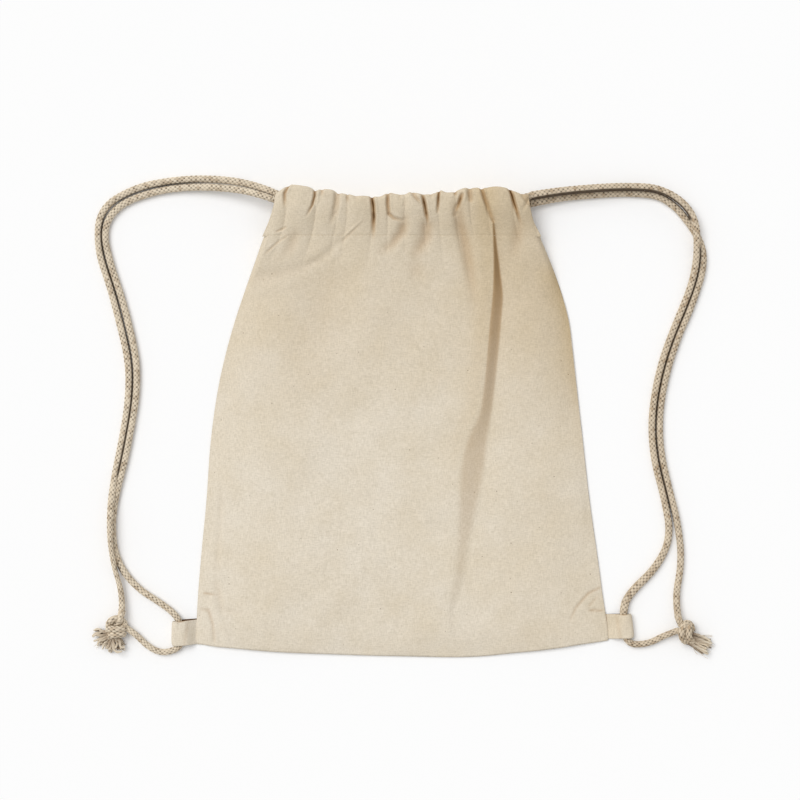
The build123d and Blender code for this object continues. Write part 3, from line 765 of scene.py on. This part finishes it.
def crease_at(x, y, points, half_width, depth, left_lip, right_lip, upper, lower):
    """How far a crease lowers the cloth, and its strength there.

    A crease is a bell curve across its line, with a lip of the same kind to each side, and its
    strength runs from end to end.
    """
    points = np.asarray(points, float)
    lengths = np.linalg.norm(np.diff(points, axis=0), axis=1)
    before = np.concatenate([[0], np.cumsum(lengths)])
    nearest = np.full(x.shape, np.inf)
    side, place = np.zeros(x.shape), np.zeros(x.shape)
    for k, length in enumerate(lengths):
        step = (points[k + 1] - points[k]) / length
        off_x, off_y = x - points[k, 0], y - points[k, 1]
        along = np.clip(off_x * step[0] + off_y * step[1], 0, length)
        distance = np.hypot(off_x - along * step[0], off_y - along * step[1])
        across = off_y * step[0] - off_x * step[1]
        closer = distance < nearest
        nearest = np.where(closer, distance, nearest)
        side = np.where(closer, np.where(across >= 0, distance, -distance), side)
        place = np.where(closer, (before[k] + along) / before[-1], place)
    strength = np.interp(place, [0, 0.2, 0.55, 1], [upper, 1, 0.85, lower])
    valley = bell(nearest, half_width)
    lips = (left_lip * bell(side + lip_offset * half_width, half_width)
            + right_lip * bell(side - lip_offset * half_width, half_width))
    return strength * (depth * valley - lips), strength * valley


gather_height, widest_gather = 3.4, 24
crest_round, near_fade, far_fade = 14, 16, 50
darkest_pleat_shade = 0.62

# x of the hollows between the gathers, at the mouth.
GATHERS = [-119, -105.8, -79, -59.5, -50.2, -27.5, -13.3, 2.0, 19.5, 32.8, 48.5, 61.5, 77, 100.5,
           117.5]


def swells(x, y, seed, size, count=24):
    """Soft unevenness: a sum of sine waves of random heading, about size long."""
    rng = np.random.default_rng(seed)
    total = np.zeros(np.shape(x))
    for _ in range(count):
        heading = rng.uniform(0, 2 * pi)
        pace = 2 * pi / (size * rng.uniform(0.7, 1.6))
        total += np.sin(pace * (x * np.cos(heading) + y * np.sin(heading)) + rng.uniform(0, 2 * pi))
    return total / np.sqrt(count)


def mellowing(x, y):
    """How much of the warm, darker tone and painted shade the cloth gets: the tone grows towards
    the gathers, the mouth and the right side, it is darker beside the pleat, and shade is painted
    along the right rim."""
    upper = eased(y, -40, 130)
    right = eased(x, 20, 120)
    mouth = eased(y, 150, 196)
    # Painted shade where the cloth turns down at the right edge.
    rim = (np.exp(-(smooth_through(RIGHT_EDGE, y) - x) / 15) * eased(y, -60, 60)
           * (1 - eased(y, 125, 160)))
    beside = bell(x - smooth_through(PLEAT_CREST, y) + 6, 12) * eased(y, -90, 20)
    return (0.2 * upper + 0.13 * upper * right + 0.11 * mouth * eased(x, -90, -20)
            + 0.07 * right + 0.4 * np.clip(rim, 0, 1) + 0.19 * beside)


def front_relief(x, y):
    """Creases, gathers, the long pleat and swells: height in mm, and how dark the shade painted in
    them is.
    """
    height, painted_shade = np.zeros(x.shape), np.zeros(x.shape)
    # Each crease gets shade painted along its hollow.
    for *crease, deep_shade in CREASES:
        fall, strength = crease_at(x, y, *crease)
        height -= fall
        painted_shade = np.maximum(painted_shade, deep_shade * strength)
    edges = np.array(GATHERS, float)
    drawn_x = x / (1 + 0.45 * (1 - eased(y, 60, 200)))
    k = np.clip(np.searchsorted(edges, drawn_x) - 1, 0, len(edges) - 2)
    width = edges[k + 1] - edges[k]
    t = np.clip((drawn_x - edges[k]) / width, 0, 1)
    bulge = np.minimum(width, widest_gather) / widest_gather
    height += eased(y, 128, 200) * gather_height * bulge * (4 * t * (1 - t)) ** 0.6
    crest = smooth_through(PLEAT_CREST, y)
    foot = smooth_through(PLEAT_FOOT, y)
    drop = np.interp(y, *np.transpose(PLEAT_DROP))
    fallen = eased(x, crest, foot)
    away = np.maximum(0, x - foot)
    height += drop * (0.45 * bell(np.minimum(0, x - crest), crest_round) * (1 - fallen)
                      - fallen * (0.75 * np.exp(-away / near_fade)
                                  + 0.25 * np.exp(-away / far_fade)))
    soft = np.interp(y, [-60, 20, 60], [7, 2.4, 1.2])
    shaded = eased(x, crest - 0.6, crest + soft) * (1 - eased(x, foot - soft, foot + 0.6))
    # Painted shadow on the pleat's shaded side.
    pleat_shade = np.minimum(np.interp(y, *np.transpose(PLEAT_SHADE)), darkest_pleat_shade)
    painted_shade = np.maximum(painted_shade, pleat_shade * shaded)
    height += 0.55 * swells(x, y, 5, 90) + 0.22 * swells(x, y, 6, 34)
    beyond = x - smooth_through(CASING_END, y)
    folded = eased(beyond, -0.4, 2.4) * eased(y, 192, 196)
    height -= 2.2 * folded - 0.8 * bell(beyond + 2, 2) * eased(y, 194, 198)
    # Painted shade on the casing's turned-under end.
    painted_shade = np.maximum(painted_shade, 0.22 * folded)
    return height, painted_shade


shoulder_rise, mouth_rise = 15.3, 6.4

# Height of the crown in the middle of the front, from the bottom seam to the mouth.
CROWN = [(-220, seam_z), (-213, 3.6), (-201, 6.2), (-170, 8.6), (-99, 10.2), (2, 10.8),
         (96, 12.2), (141, 14.6), (171, 18.6), (183, 22.4), (195, 25.8), (207, 26.6),
         (240, 26.6)]


def front_base(share, y):
    """Height of the front cloth before its folds: level rims at the seams, and a low crown.

    Across the bag it rises from the rim to the middle as 1 - |2 share - 1|^n, where n grows
    from a rounded 5 at the bottom to 9 at the mouth.
    """
    rim = seam_z + shoulder_rise * eased(y, 106, 172) + mouth_rise * eased(y, 172, 198)
    middle = np.maximum(smooth_through(CROWN, y), rim)
    crown = 1 - np.abs(2 * share - 1) ** (5 + 4 * eased(y, 100, 200))
    return rim + (middle - rim) * crown


def ends_of(share):
    """The y of the bottom seam and of the fold at the mouth, at a share of the width."""
    return (smooth_through(BOTTOM_EDGE, bottom_left + bottom_width * share),
            smooth_through(TOP_EDGE, mouth_left + mouth_width * share))


def sides_at(y):
    """The x of the left and the right edge at a given y."""
    return smooth_through(LEFT_EDGE, y), smooth_through(RIGHT_EDGE, y)


def outline(share, level):
    """Plan of the front: share runs from the left edge to the right one, level from the
    bottom seam (0) to the fold at the mouth (1)."""
    low, high = ends_of(share)
    y = low + (high - low) * level
    left, right = sides_at(y)
    return left + (right - left) * share, y


def level_of(share, y):
    """The level at which the outline reaches a given y."""
    low, high = ends_of(share)
    return (y - low) / (high - low)


def unit_grid(columns, rows):
    """Grids of the share across, which changes along a row, and of the step up."""
    return np.meshgrid(np.linspace(0, 1, columns), np.linspace(0, 1, rows))


def off_sides(share, reach):
    """0 at both sides of the bag, and 1 from a share of the width inwards."""
    return np.minimum(eased(share, 0, reach), eased(1 - share, 0, reach))


def cloth_piece(name, points, thickness=cloth_thickness, **attributes):
    """Sheet of calico over a net of points in millimetres, its thickness on its inner side."""
    piece = add_piece(name, grid_mesh(name, points * MM, attributes=attributes), bag_calico)
    solid = piece.modifiers.new("thickness", "SOLIDIFY")
    solid.thickness = thickness * MM
    solid.offset = -1.0
    solid.use_even_offset = False
    return piece


# The panel, from the bottom seam to the stitch line.  Towards the mouth it turns down in a
# quarter round at both sides, to meet the back at the side seams.
side_share = 0.024
columns, panel_rows, casing_rows = 331, 146, 106
row_places = ([0, 0.28, 0.52, 1], [0, 0.17, 0.77, 1])
left_tab_shade, right_tab_shade = 0.35, 0.8
share, step = unit_grid(columns, panel_rows)
level = np.interp(step, *row_places) * level_of(share, stitch_y + seam_lip)
panel_x, panel_y = outline(share, level)
relief, painted_shade = front_relief(panel_x, panel_y)
rim_fade = np.maximum(off_sides(share, 0.03), eased(panel_y, 110, 150)) * eased(level, 0, 0.012)
panel_z = front_base(share, panel_y) + relief * rim_fade
panel_z = np.maximum(panel_z, seam_z) - 0.9 * eased(panel_y, stitch_y + 0.3, stitch_y + 2.6)
inward = np.clip(np.minimum(share, 1 - share) / side_share, 0, 1)
panel_z = seam_z + (panel_z - seam_z) * np.sqrt(1 - (1 - inward) ** 2)
# Painted shadow along the side seams beside the tabs.
tab_seam_shade = (eased(-panel_y, 172, 178) * (1 - 0.5 * eased(-panel_y, 182, 200))
          * ((share == 1) * right_tab_shade + (share == 0) * left_tab_shade))
front_cloth = cloth_piece("front_panel_cloth", np.stack([panel_x, panel_y, panel_z], axis=-1),
                          fold=np.maximum(painted_shade * off_sides(share, 0.008), tab_seam_shade),
                          mellow=mellowing(panel_x, panel_y))
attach(front_cloth, "bag")
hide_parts("front_panel")

# The casing, from the stitch line over the fold and back down inside.  Its hem is pressed down
# at the stitches, where the panel runs on below it.
hem_press = 0.5


def pressed(y):
    """How far the hem is pressed down at a given y."""
    return hem_press * (1 - eased(y, stitch_y, stitch_y + 2.5))


def folded_over(step, bend, back):
    """A section that runs out, turns from the bend on and comes back: the share of the way
    out, the angle turned and the share of the way back."""
    return (np.clip(step / bend, 0, 1), pi * np.clip((step - bend) / (back - bend), 0, 1),
            np.clip((step - back) / (1 - back), 0, 1))


fold_radius = 4.3
inner_z = 16.6
hem_sink = 6.0
ruffle_height, ruffle_pitch = 1.9, 11.3
slack_z, over_cord_z = 17, 24.3
fold_span = (0.56, 0.72)
share, step = unit_grid(columns, casing_rows)
_, top_y = outline(share, np.ones_like(share))
bend_start = top_y - fold_radius
outer, turn, inner = folded_over(step, *fold_span)
outer_y = stitch_y + (bend_start - stitch_y) * outer
casing_y = np.where(inner > 0, bend_start + (stitch_y + 2 - bend_start) * inner,
                    outer_y + fold_radius * np.sin(turn))
edge_y = np.minimum(casing_y, top_y)
left, right = sides_at(edge_y)
casing_x = left + (right - left) * share
relief, painted_shade = front_relief(casing_x, np.where(inner > 0, bend_start, outer_y)
                            + fold_radius * np.sin(turn) * (inner <= 0))
top_z = front_base(share, outer_y)
casing_z = ((top_z + inner_z) / 2 + (top_z - inner_z) / 2 * np.cos(turn)
            + relief * np.where(inner > 0, 0.0, np.cos(turn / 2)))
ruffle = np.sin(2 * pi * casing_x / ruffle_pitch + 2 * np.sin(casing_x / 17)) - 1
ruffled = eased(inner, 0, 0.12) * (1 - eased(inner, 0.93, 1.0)) * off_sides(share, 0.04)
casing_z += ruffle_height * ruffle * ruffled
casing_z -= hem_sink * eased(inner, 0.8, 1.0)
casing_z -= pressed(outer_y) * (turn <= 0)
casing_y = casing_y + np.sin(turn) * relief * 0.2 * (inner <= 0)
over_cord = eased(casing_y, 183, 192) * (turn < 1.2) * off_sides(share, 0.04)
least_z = slack_z + (over_cord_z - slack_z) * over_cord
casing_z = np.where(over_cord > 0, np.maximum(casing_z, least_z), casing_z)
front_hem = cloth_piece("front_casing_cloth", np.stack([casing_x, casing_y, casing_z], axis=-1),
                        fold=painted_shade * (turn < 2.4), mellow=mellowing(casing_x, edge_y))
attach(front_hem, "bag")
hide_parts("front_casing")


# --- Back of the bag ------------------------------------------
# The second cut of the same calico, flat on the surface, turned up at its seams to meet the
# front, with its own hem and casing behind the front one.

rest_z = 0.1
back_rim = 1.0
back_top_z = 8.9
back_drop = 0.8
back_ruffle = 1.5
back_columns, back_rows, back_casing_rows = 361, 110, 100
usual_width = 300
wrinkle_pitch, back_ridge, ridge_pitch = 17, 3.0, 9.3
back_fold_span = (0.42, 0.58)

share, step = unit_grid(back_columns, back_rows)
level = step * level_of(share, stitch_y + seam_lip)
back_x, back_y = outline(share, level)
inside = np.minimum(np.minimum(share, 1 - share) * usual_width, back_y - back_y[0])
lifted = 1 - eased(inside, 0, 5)
gathered = eased(back_y, 120, 190)
wrinkle = 0.5 + 0.5 * np.sin(2 * pi * back_x / wrinkle_pitch + 1.7 * np.sin(back_x / 23))
back_z = rest_z + back_rim * lifted + (back_ruffle * gathered + 0.2) * wrinkle * (1 - lifted)
# Painted shade in the hollows of the wrinkles.
back_cloth = cloth_piece("back_panel_cloth", np.stack([back_x, back_y, back_z], axis=-1)[:, ::-1],
                         fold=0.15 * gathered * (1 - wrinkle)[:, ::-1])
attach(back_cloth, "bag")
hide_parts("back_panel")

# The back casing is a wedge from its stitch line, round the fold and back along the surface.
# It is a little narrower than the front one on the left, and wider on the right.
share, step = unit_grid(back_columns, back_casing_rows)
_, top_y = outline(share, np.ones_like(share))
bend_start = top_y - back_drop - back_top_z / 2
upper, turn, lower = folded_over(step, *back_fold_span)
back_stitch_y = stitch_y - 1.0
upper_y = back_stitch_y + (bend_start - back_stitch_y) * upper
casing_y = np.where(lower > 0, bend_start + (back_stitch_y - bend_start) * lower,
                    upper_y + (back_top_z / 2) * np.sin(turn))
left, right = sides_at(casing_y)
left, right = left + 0.8, right + 0.4
casing_x = left + (right - left) * share
wave = 0.5 + 0.5 * np.sin(2 * pi * casing_x / ridge_pitch + 1.9 * np.sin(casing_x / 19 + 1))
ridge = back_ridge * wave * eased(upper_y, 171, 186)
upper_z = 2.4 + (back_top_z - 2.4) * eased(upper_y, 168, 194)
lower_z = rest_z + 1.3 * wave
casing_z = ((upper_z + lower_z) / 2 + (upper_z - lower_z) / 2 * np.cos(turn)
            + ridge * np.cos(turn / 2) * (lower <= 0))
# Painted shade in the hollows between the ridges.
back_hem = cloth_piece("back_casing_cloth", np.stack([casing_x, casing_y, casing_z], axis=-1),
                       fold=0.2 * (1 - wave) * (lower <= 0))
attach(back_hem, "bag")
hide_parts("back_casing")


# --- Corner tabs ----------------------------------------------
# A folded strip of the same calico in each bottom corner.  Its two ends are caught in the
# side seam, and one end of the drawcord runs through its fold.

tab_thickness = 0.4
cord_hole = 4.0
tab_length = 24.0
floor_z, tab_root_z, tab_rise = 0.4, 1.3, 6.9
tab_columns, tab_rows = 65, 29
tab_fold_span = (0.4, 0.6)

# Side of the bag; how far the under layer shows at the top; top y at the fold and at the seam;
# bottom y at both; x of the fold at the top and the bottom; x where the ends are caught; where
# along it the upper layer has risen over the cord; how much painted shade in the warm tone darkens
# the cloth.
TABS = {
    "left": (-1, 0.9, (-185.5, -183.9), (-208.2, -206.4), (-213.0, -213.6), -186.4, 0.62, 0.0),
    "right": (1, 0.0, (-178.6, -179.2), (-200.9, -202.0), (211.4, 214.0), 186.0, 0.86, 0.17)}


def tab_sheet(sign, under_lip, tops, bottoms, folds, root_x, risen):
    """Folded strip: its section runs out along the surface, round the cord and back on top.

    The section is the same all the way down but for its fold, whose place runs in a line from
    top to bottom and is drawn in at both ends by a rounded corner.
    """
    s, t = unit_grid(tab_columns, tab_rows)
    fold_x = folds[0] + (folds[1] - folds[0]) * t
    corner = 1.6 * (np.exp(-t / 0.05) * 0.4 + np.exp(-(1 - t) / 0.07))
    fold_x = fold_x - sign * corner
    run = np.abs(fold_x - root_x) - cord_hole
    lower, turn, upper = folded_over(s, *tab_fold_span)
    out = run * np.where(s < 0.5, lower, 1 - upper) + cord_hole * np.sin(turn)
    x = root_x + sign * out
    away = np.clip(out / tab_length, 0, 1)
    roof_z = tab_root_z + tab_rise * eased(away, 0.1, risen)
    z = floor_z + (roof_z - floor_z) * 0.5 * (1 - np.cos(turn))
    dent = bell(out - 11 - 4 * t, 1.8) * (upper > 0)
    z = z - 0.3 * dent + 0.25 * np.sin(out / 3.1 + 5 * t) * (upper > 0) * eased(out, 2, 6)
    top = tops[1] + (tops[0] - tops[1]) * away + under_lip * (1 - eased(s, 0.3, 0.42))
    bottom = bottoms[1] + (bottoms[0] - bottoms[1]) * away
    y = top + (bottom - top) * t
    points = np.stack([x, y, z], axis=-1)
    # Painted shade: in the dent, along the top edge of the under layer, where the cord goes in and
    # along the seam.
    fold = np.maximum(0.14 * dent, 0.95 * (s < 0.42) * (1 - eased(t, 0.04, 0.12)))
    entry = bell(out - 18, 3.5) * (upper > 0) * (1 - eased(t, 0.0, 0.06))
    seam = (upper > 0) * (1 - eased(out - 1.8 * t, 1.8, 2.8)) * (1 - 0.5 * eased(t, 0.1, 0.6))
    fold = np.maximum(fold, 0.8 * np.maximum(entry, seam))
    return points[:, ::sign], fold[:, ::sign]


for side_name, (*shape, mellow) in TABS.items():
    points, fold = tab_sheet(*shape)
    tab = cloth_piece(f"{side_name}_tab_strip", points, tab_thickness, fold=fold,
                      mellow=np.full(fold.shape, mellow))
    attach(tab, "bag")
    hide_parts(f"{side_name}_tab")


# --- Stitches -------------------------------------------------
# A row of lockstitch in cream cotton thread holds down each casing hem.  It is sewn by
# machine, so the stitches are short and even and sink into the cloth at both ends.

stitch_length, stitch_gap = 2.3, 0.8
stitch_rings, stitch_sides = 7, 6
thread_radius = 0.24
back_surface_z = 0.45

stitch_cotton = cotton_yarn("stitch_cotton", srgb(217, 203, 178), srgb(184, 162, 126),
                            srgb(204, 188, 160))


def stitch_row(name, centres_x, y, surface, sign):
    """Short tubes end to end along X: each rises from the cloth as a sine and sinks again."""
    t, angle = np.meshgrid(np.linspace(0, 1, stitch_rings),
                           np.linspace(0, 2 * pi, stitch_sides, endpoint=False), indexing="ij")
    x = centres_x[:, None, None] + (t - 0.5) * stitch_length
    lift = thread_radius * (2.0 * np.sin(pi * t) - 0.9)
    reach = thread_radius * np.sqrt(np.clip(np.sin(pi * t), 0.05, 1))
    z = surface(x, np.full(x.shape, y)) + sign * lift + reach * np.sin(angle)
    rings = np.stack([x, y + reach * np.cos(angle) + 0 * x, z], axis=-1)
    index = np.arange(rings[..., 0].size).reshape(rings.shape[:3])
    polygons = [face for stitch in index for face in net_faces(stitch, tube=True)]
    return smooth_mesh(name, rings * MM, polygons)


def front_surface(x, y):
    """Height of the front cloth's outer side."""
    left, right = sides_at(y)
    level_z = front_base((x - left) / (right - left), y)
    return level_z + front_relief(x, y)[0] - pressed(y)


def back_surface(x, y):
    """Height of the back cloth's outer side."""
    return np.full(x.shape, back_surface_z)


stitch_x = np.arange(-126.5, 124.5, stitch_length + stitch_gap)
for side_name, above, surface, sign in (("front", 0.9, front_surface, 1),
                                        ("back", 0.6, back_surface, -1)):
    name = f"{side_name}_casing_stitches"
    row = stitch_row(name, stitch_x, stitch_y + above, surface, sign)
    stitches = add_piece(name, row, stitch_cotton)
    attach(stitches, "bag")


# --- Floor and light ------------------------------------------
# A white surface and a broad soft light from the upper left.  World and lamp together give
# a level surface its own colour.

floor_mesh = bpy.data.meshes.new("floor")
floor_mesh.from_pydata([(-3, -3, 0), (3, -3, 0), (3, 3, 0), (-3, 3, 0)], [], [(0, 1, 2, 3)])
floor_paper, _, floor_shader = dull_material("white_paper", 1.0, 0.0)
floor_shader.inputs["Base Color"].default_value = (0.98, 0.98, 0.98, 1.0)
floor = add_piece("floor", floor_mesh, floor_paper)

world_share = 0.54
key_width = 0.75
key_heading = Vector((-0.52, 0.42, 1.0)).normalized()

world = bpy.data.worlds.new("studio")
world.use_nodes = True
sky = world.node_tree
background = sky.nodes["Background"]
background.inputs["Color"].default_value = (1.0, 1.0, 1.0, 1.0)
seen = node(sky, "LightPath").outputs["Is Camera Ray"]
sky.links.new(ranged(sky, seen, 0.0, 1.0, world_share, 1.0), background.inputs["Strength"])
bpy.context.scene.world = world

key_data = bpy.data.lights.new("key", "SUN")
key_data.energy = pi * (1 - world_share) / key_heading.z
key_data.angle = key_width
key = bpy.data.objects.new("key", key_data)
key.rotation_euler = key_heading.to_track_quat("Z", "Y").to_euler()
bpy.context.collection.objects.link(key)

bpy.context.scene.view_settings.view_transform = "Standard"
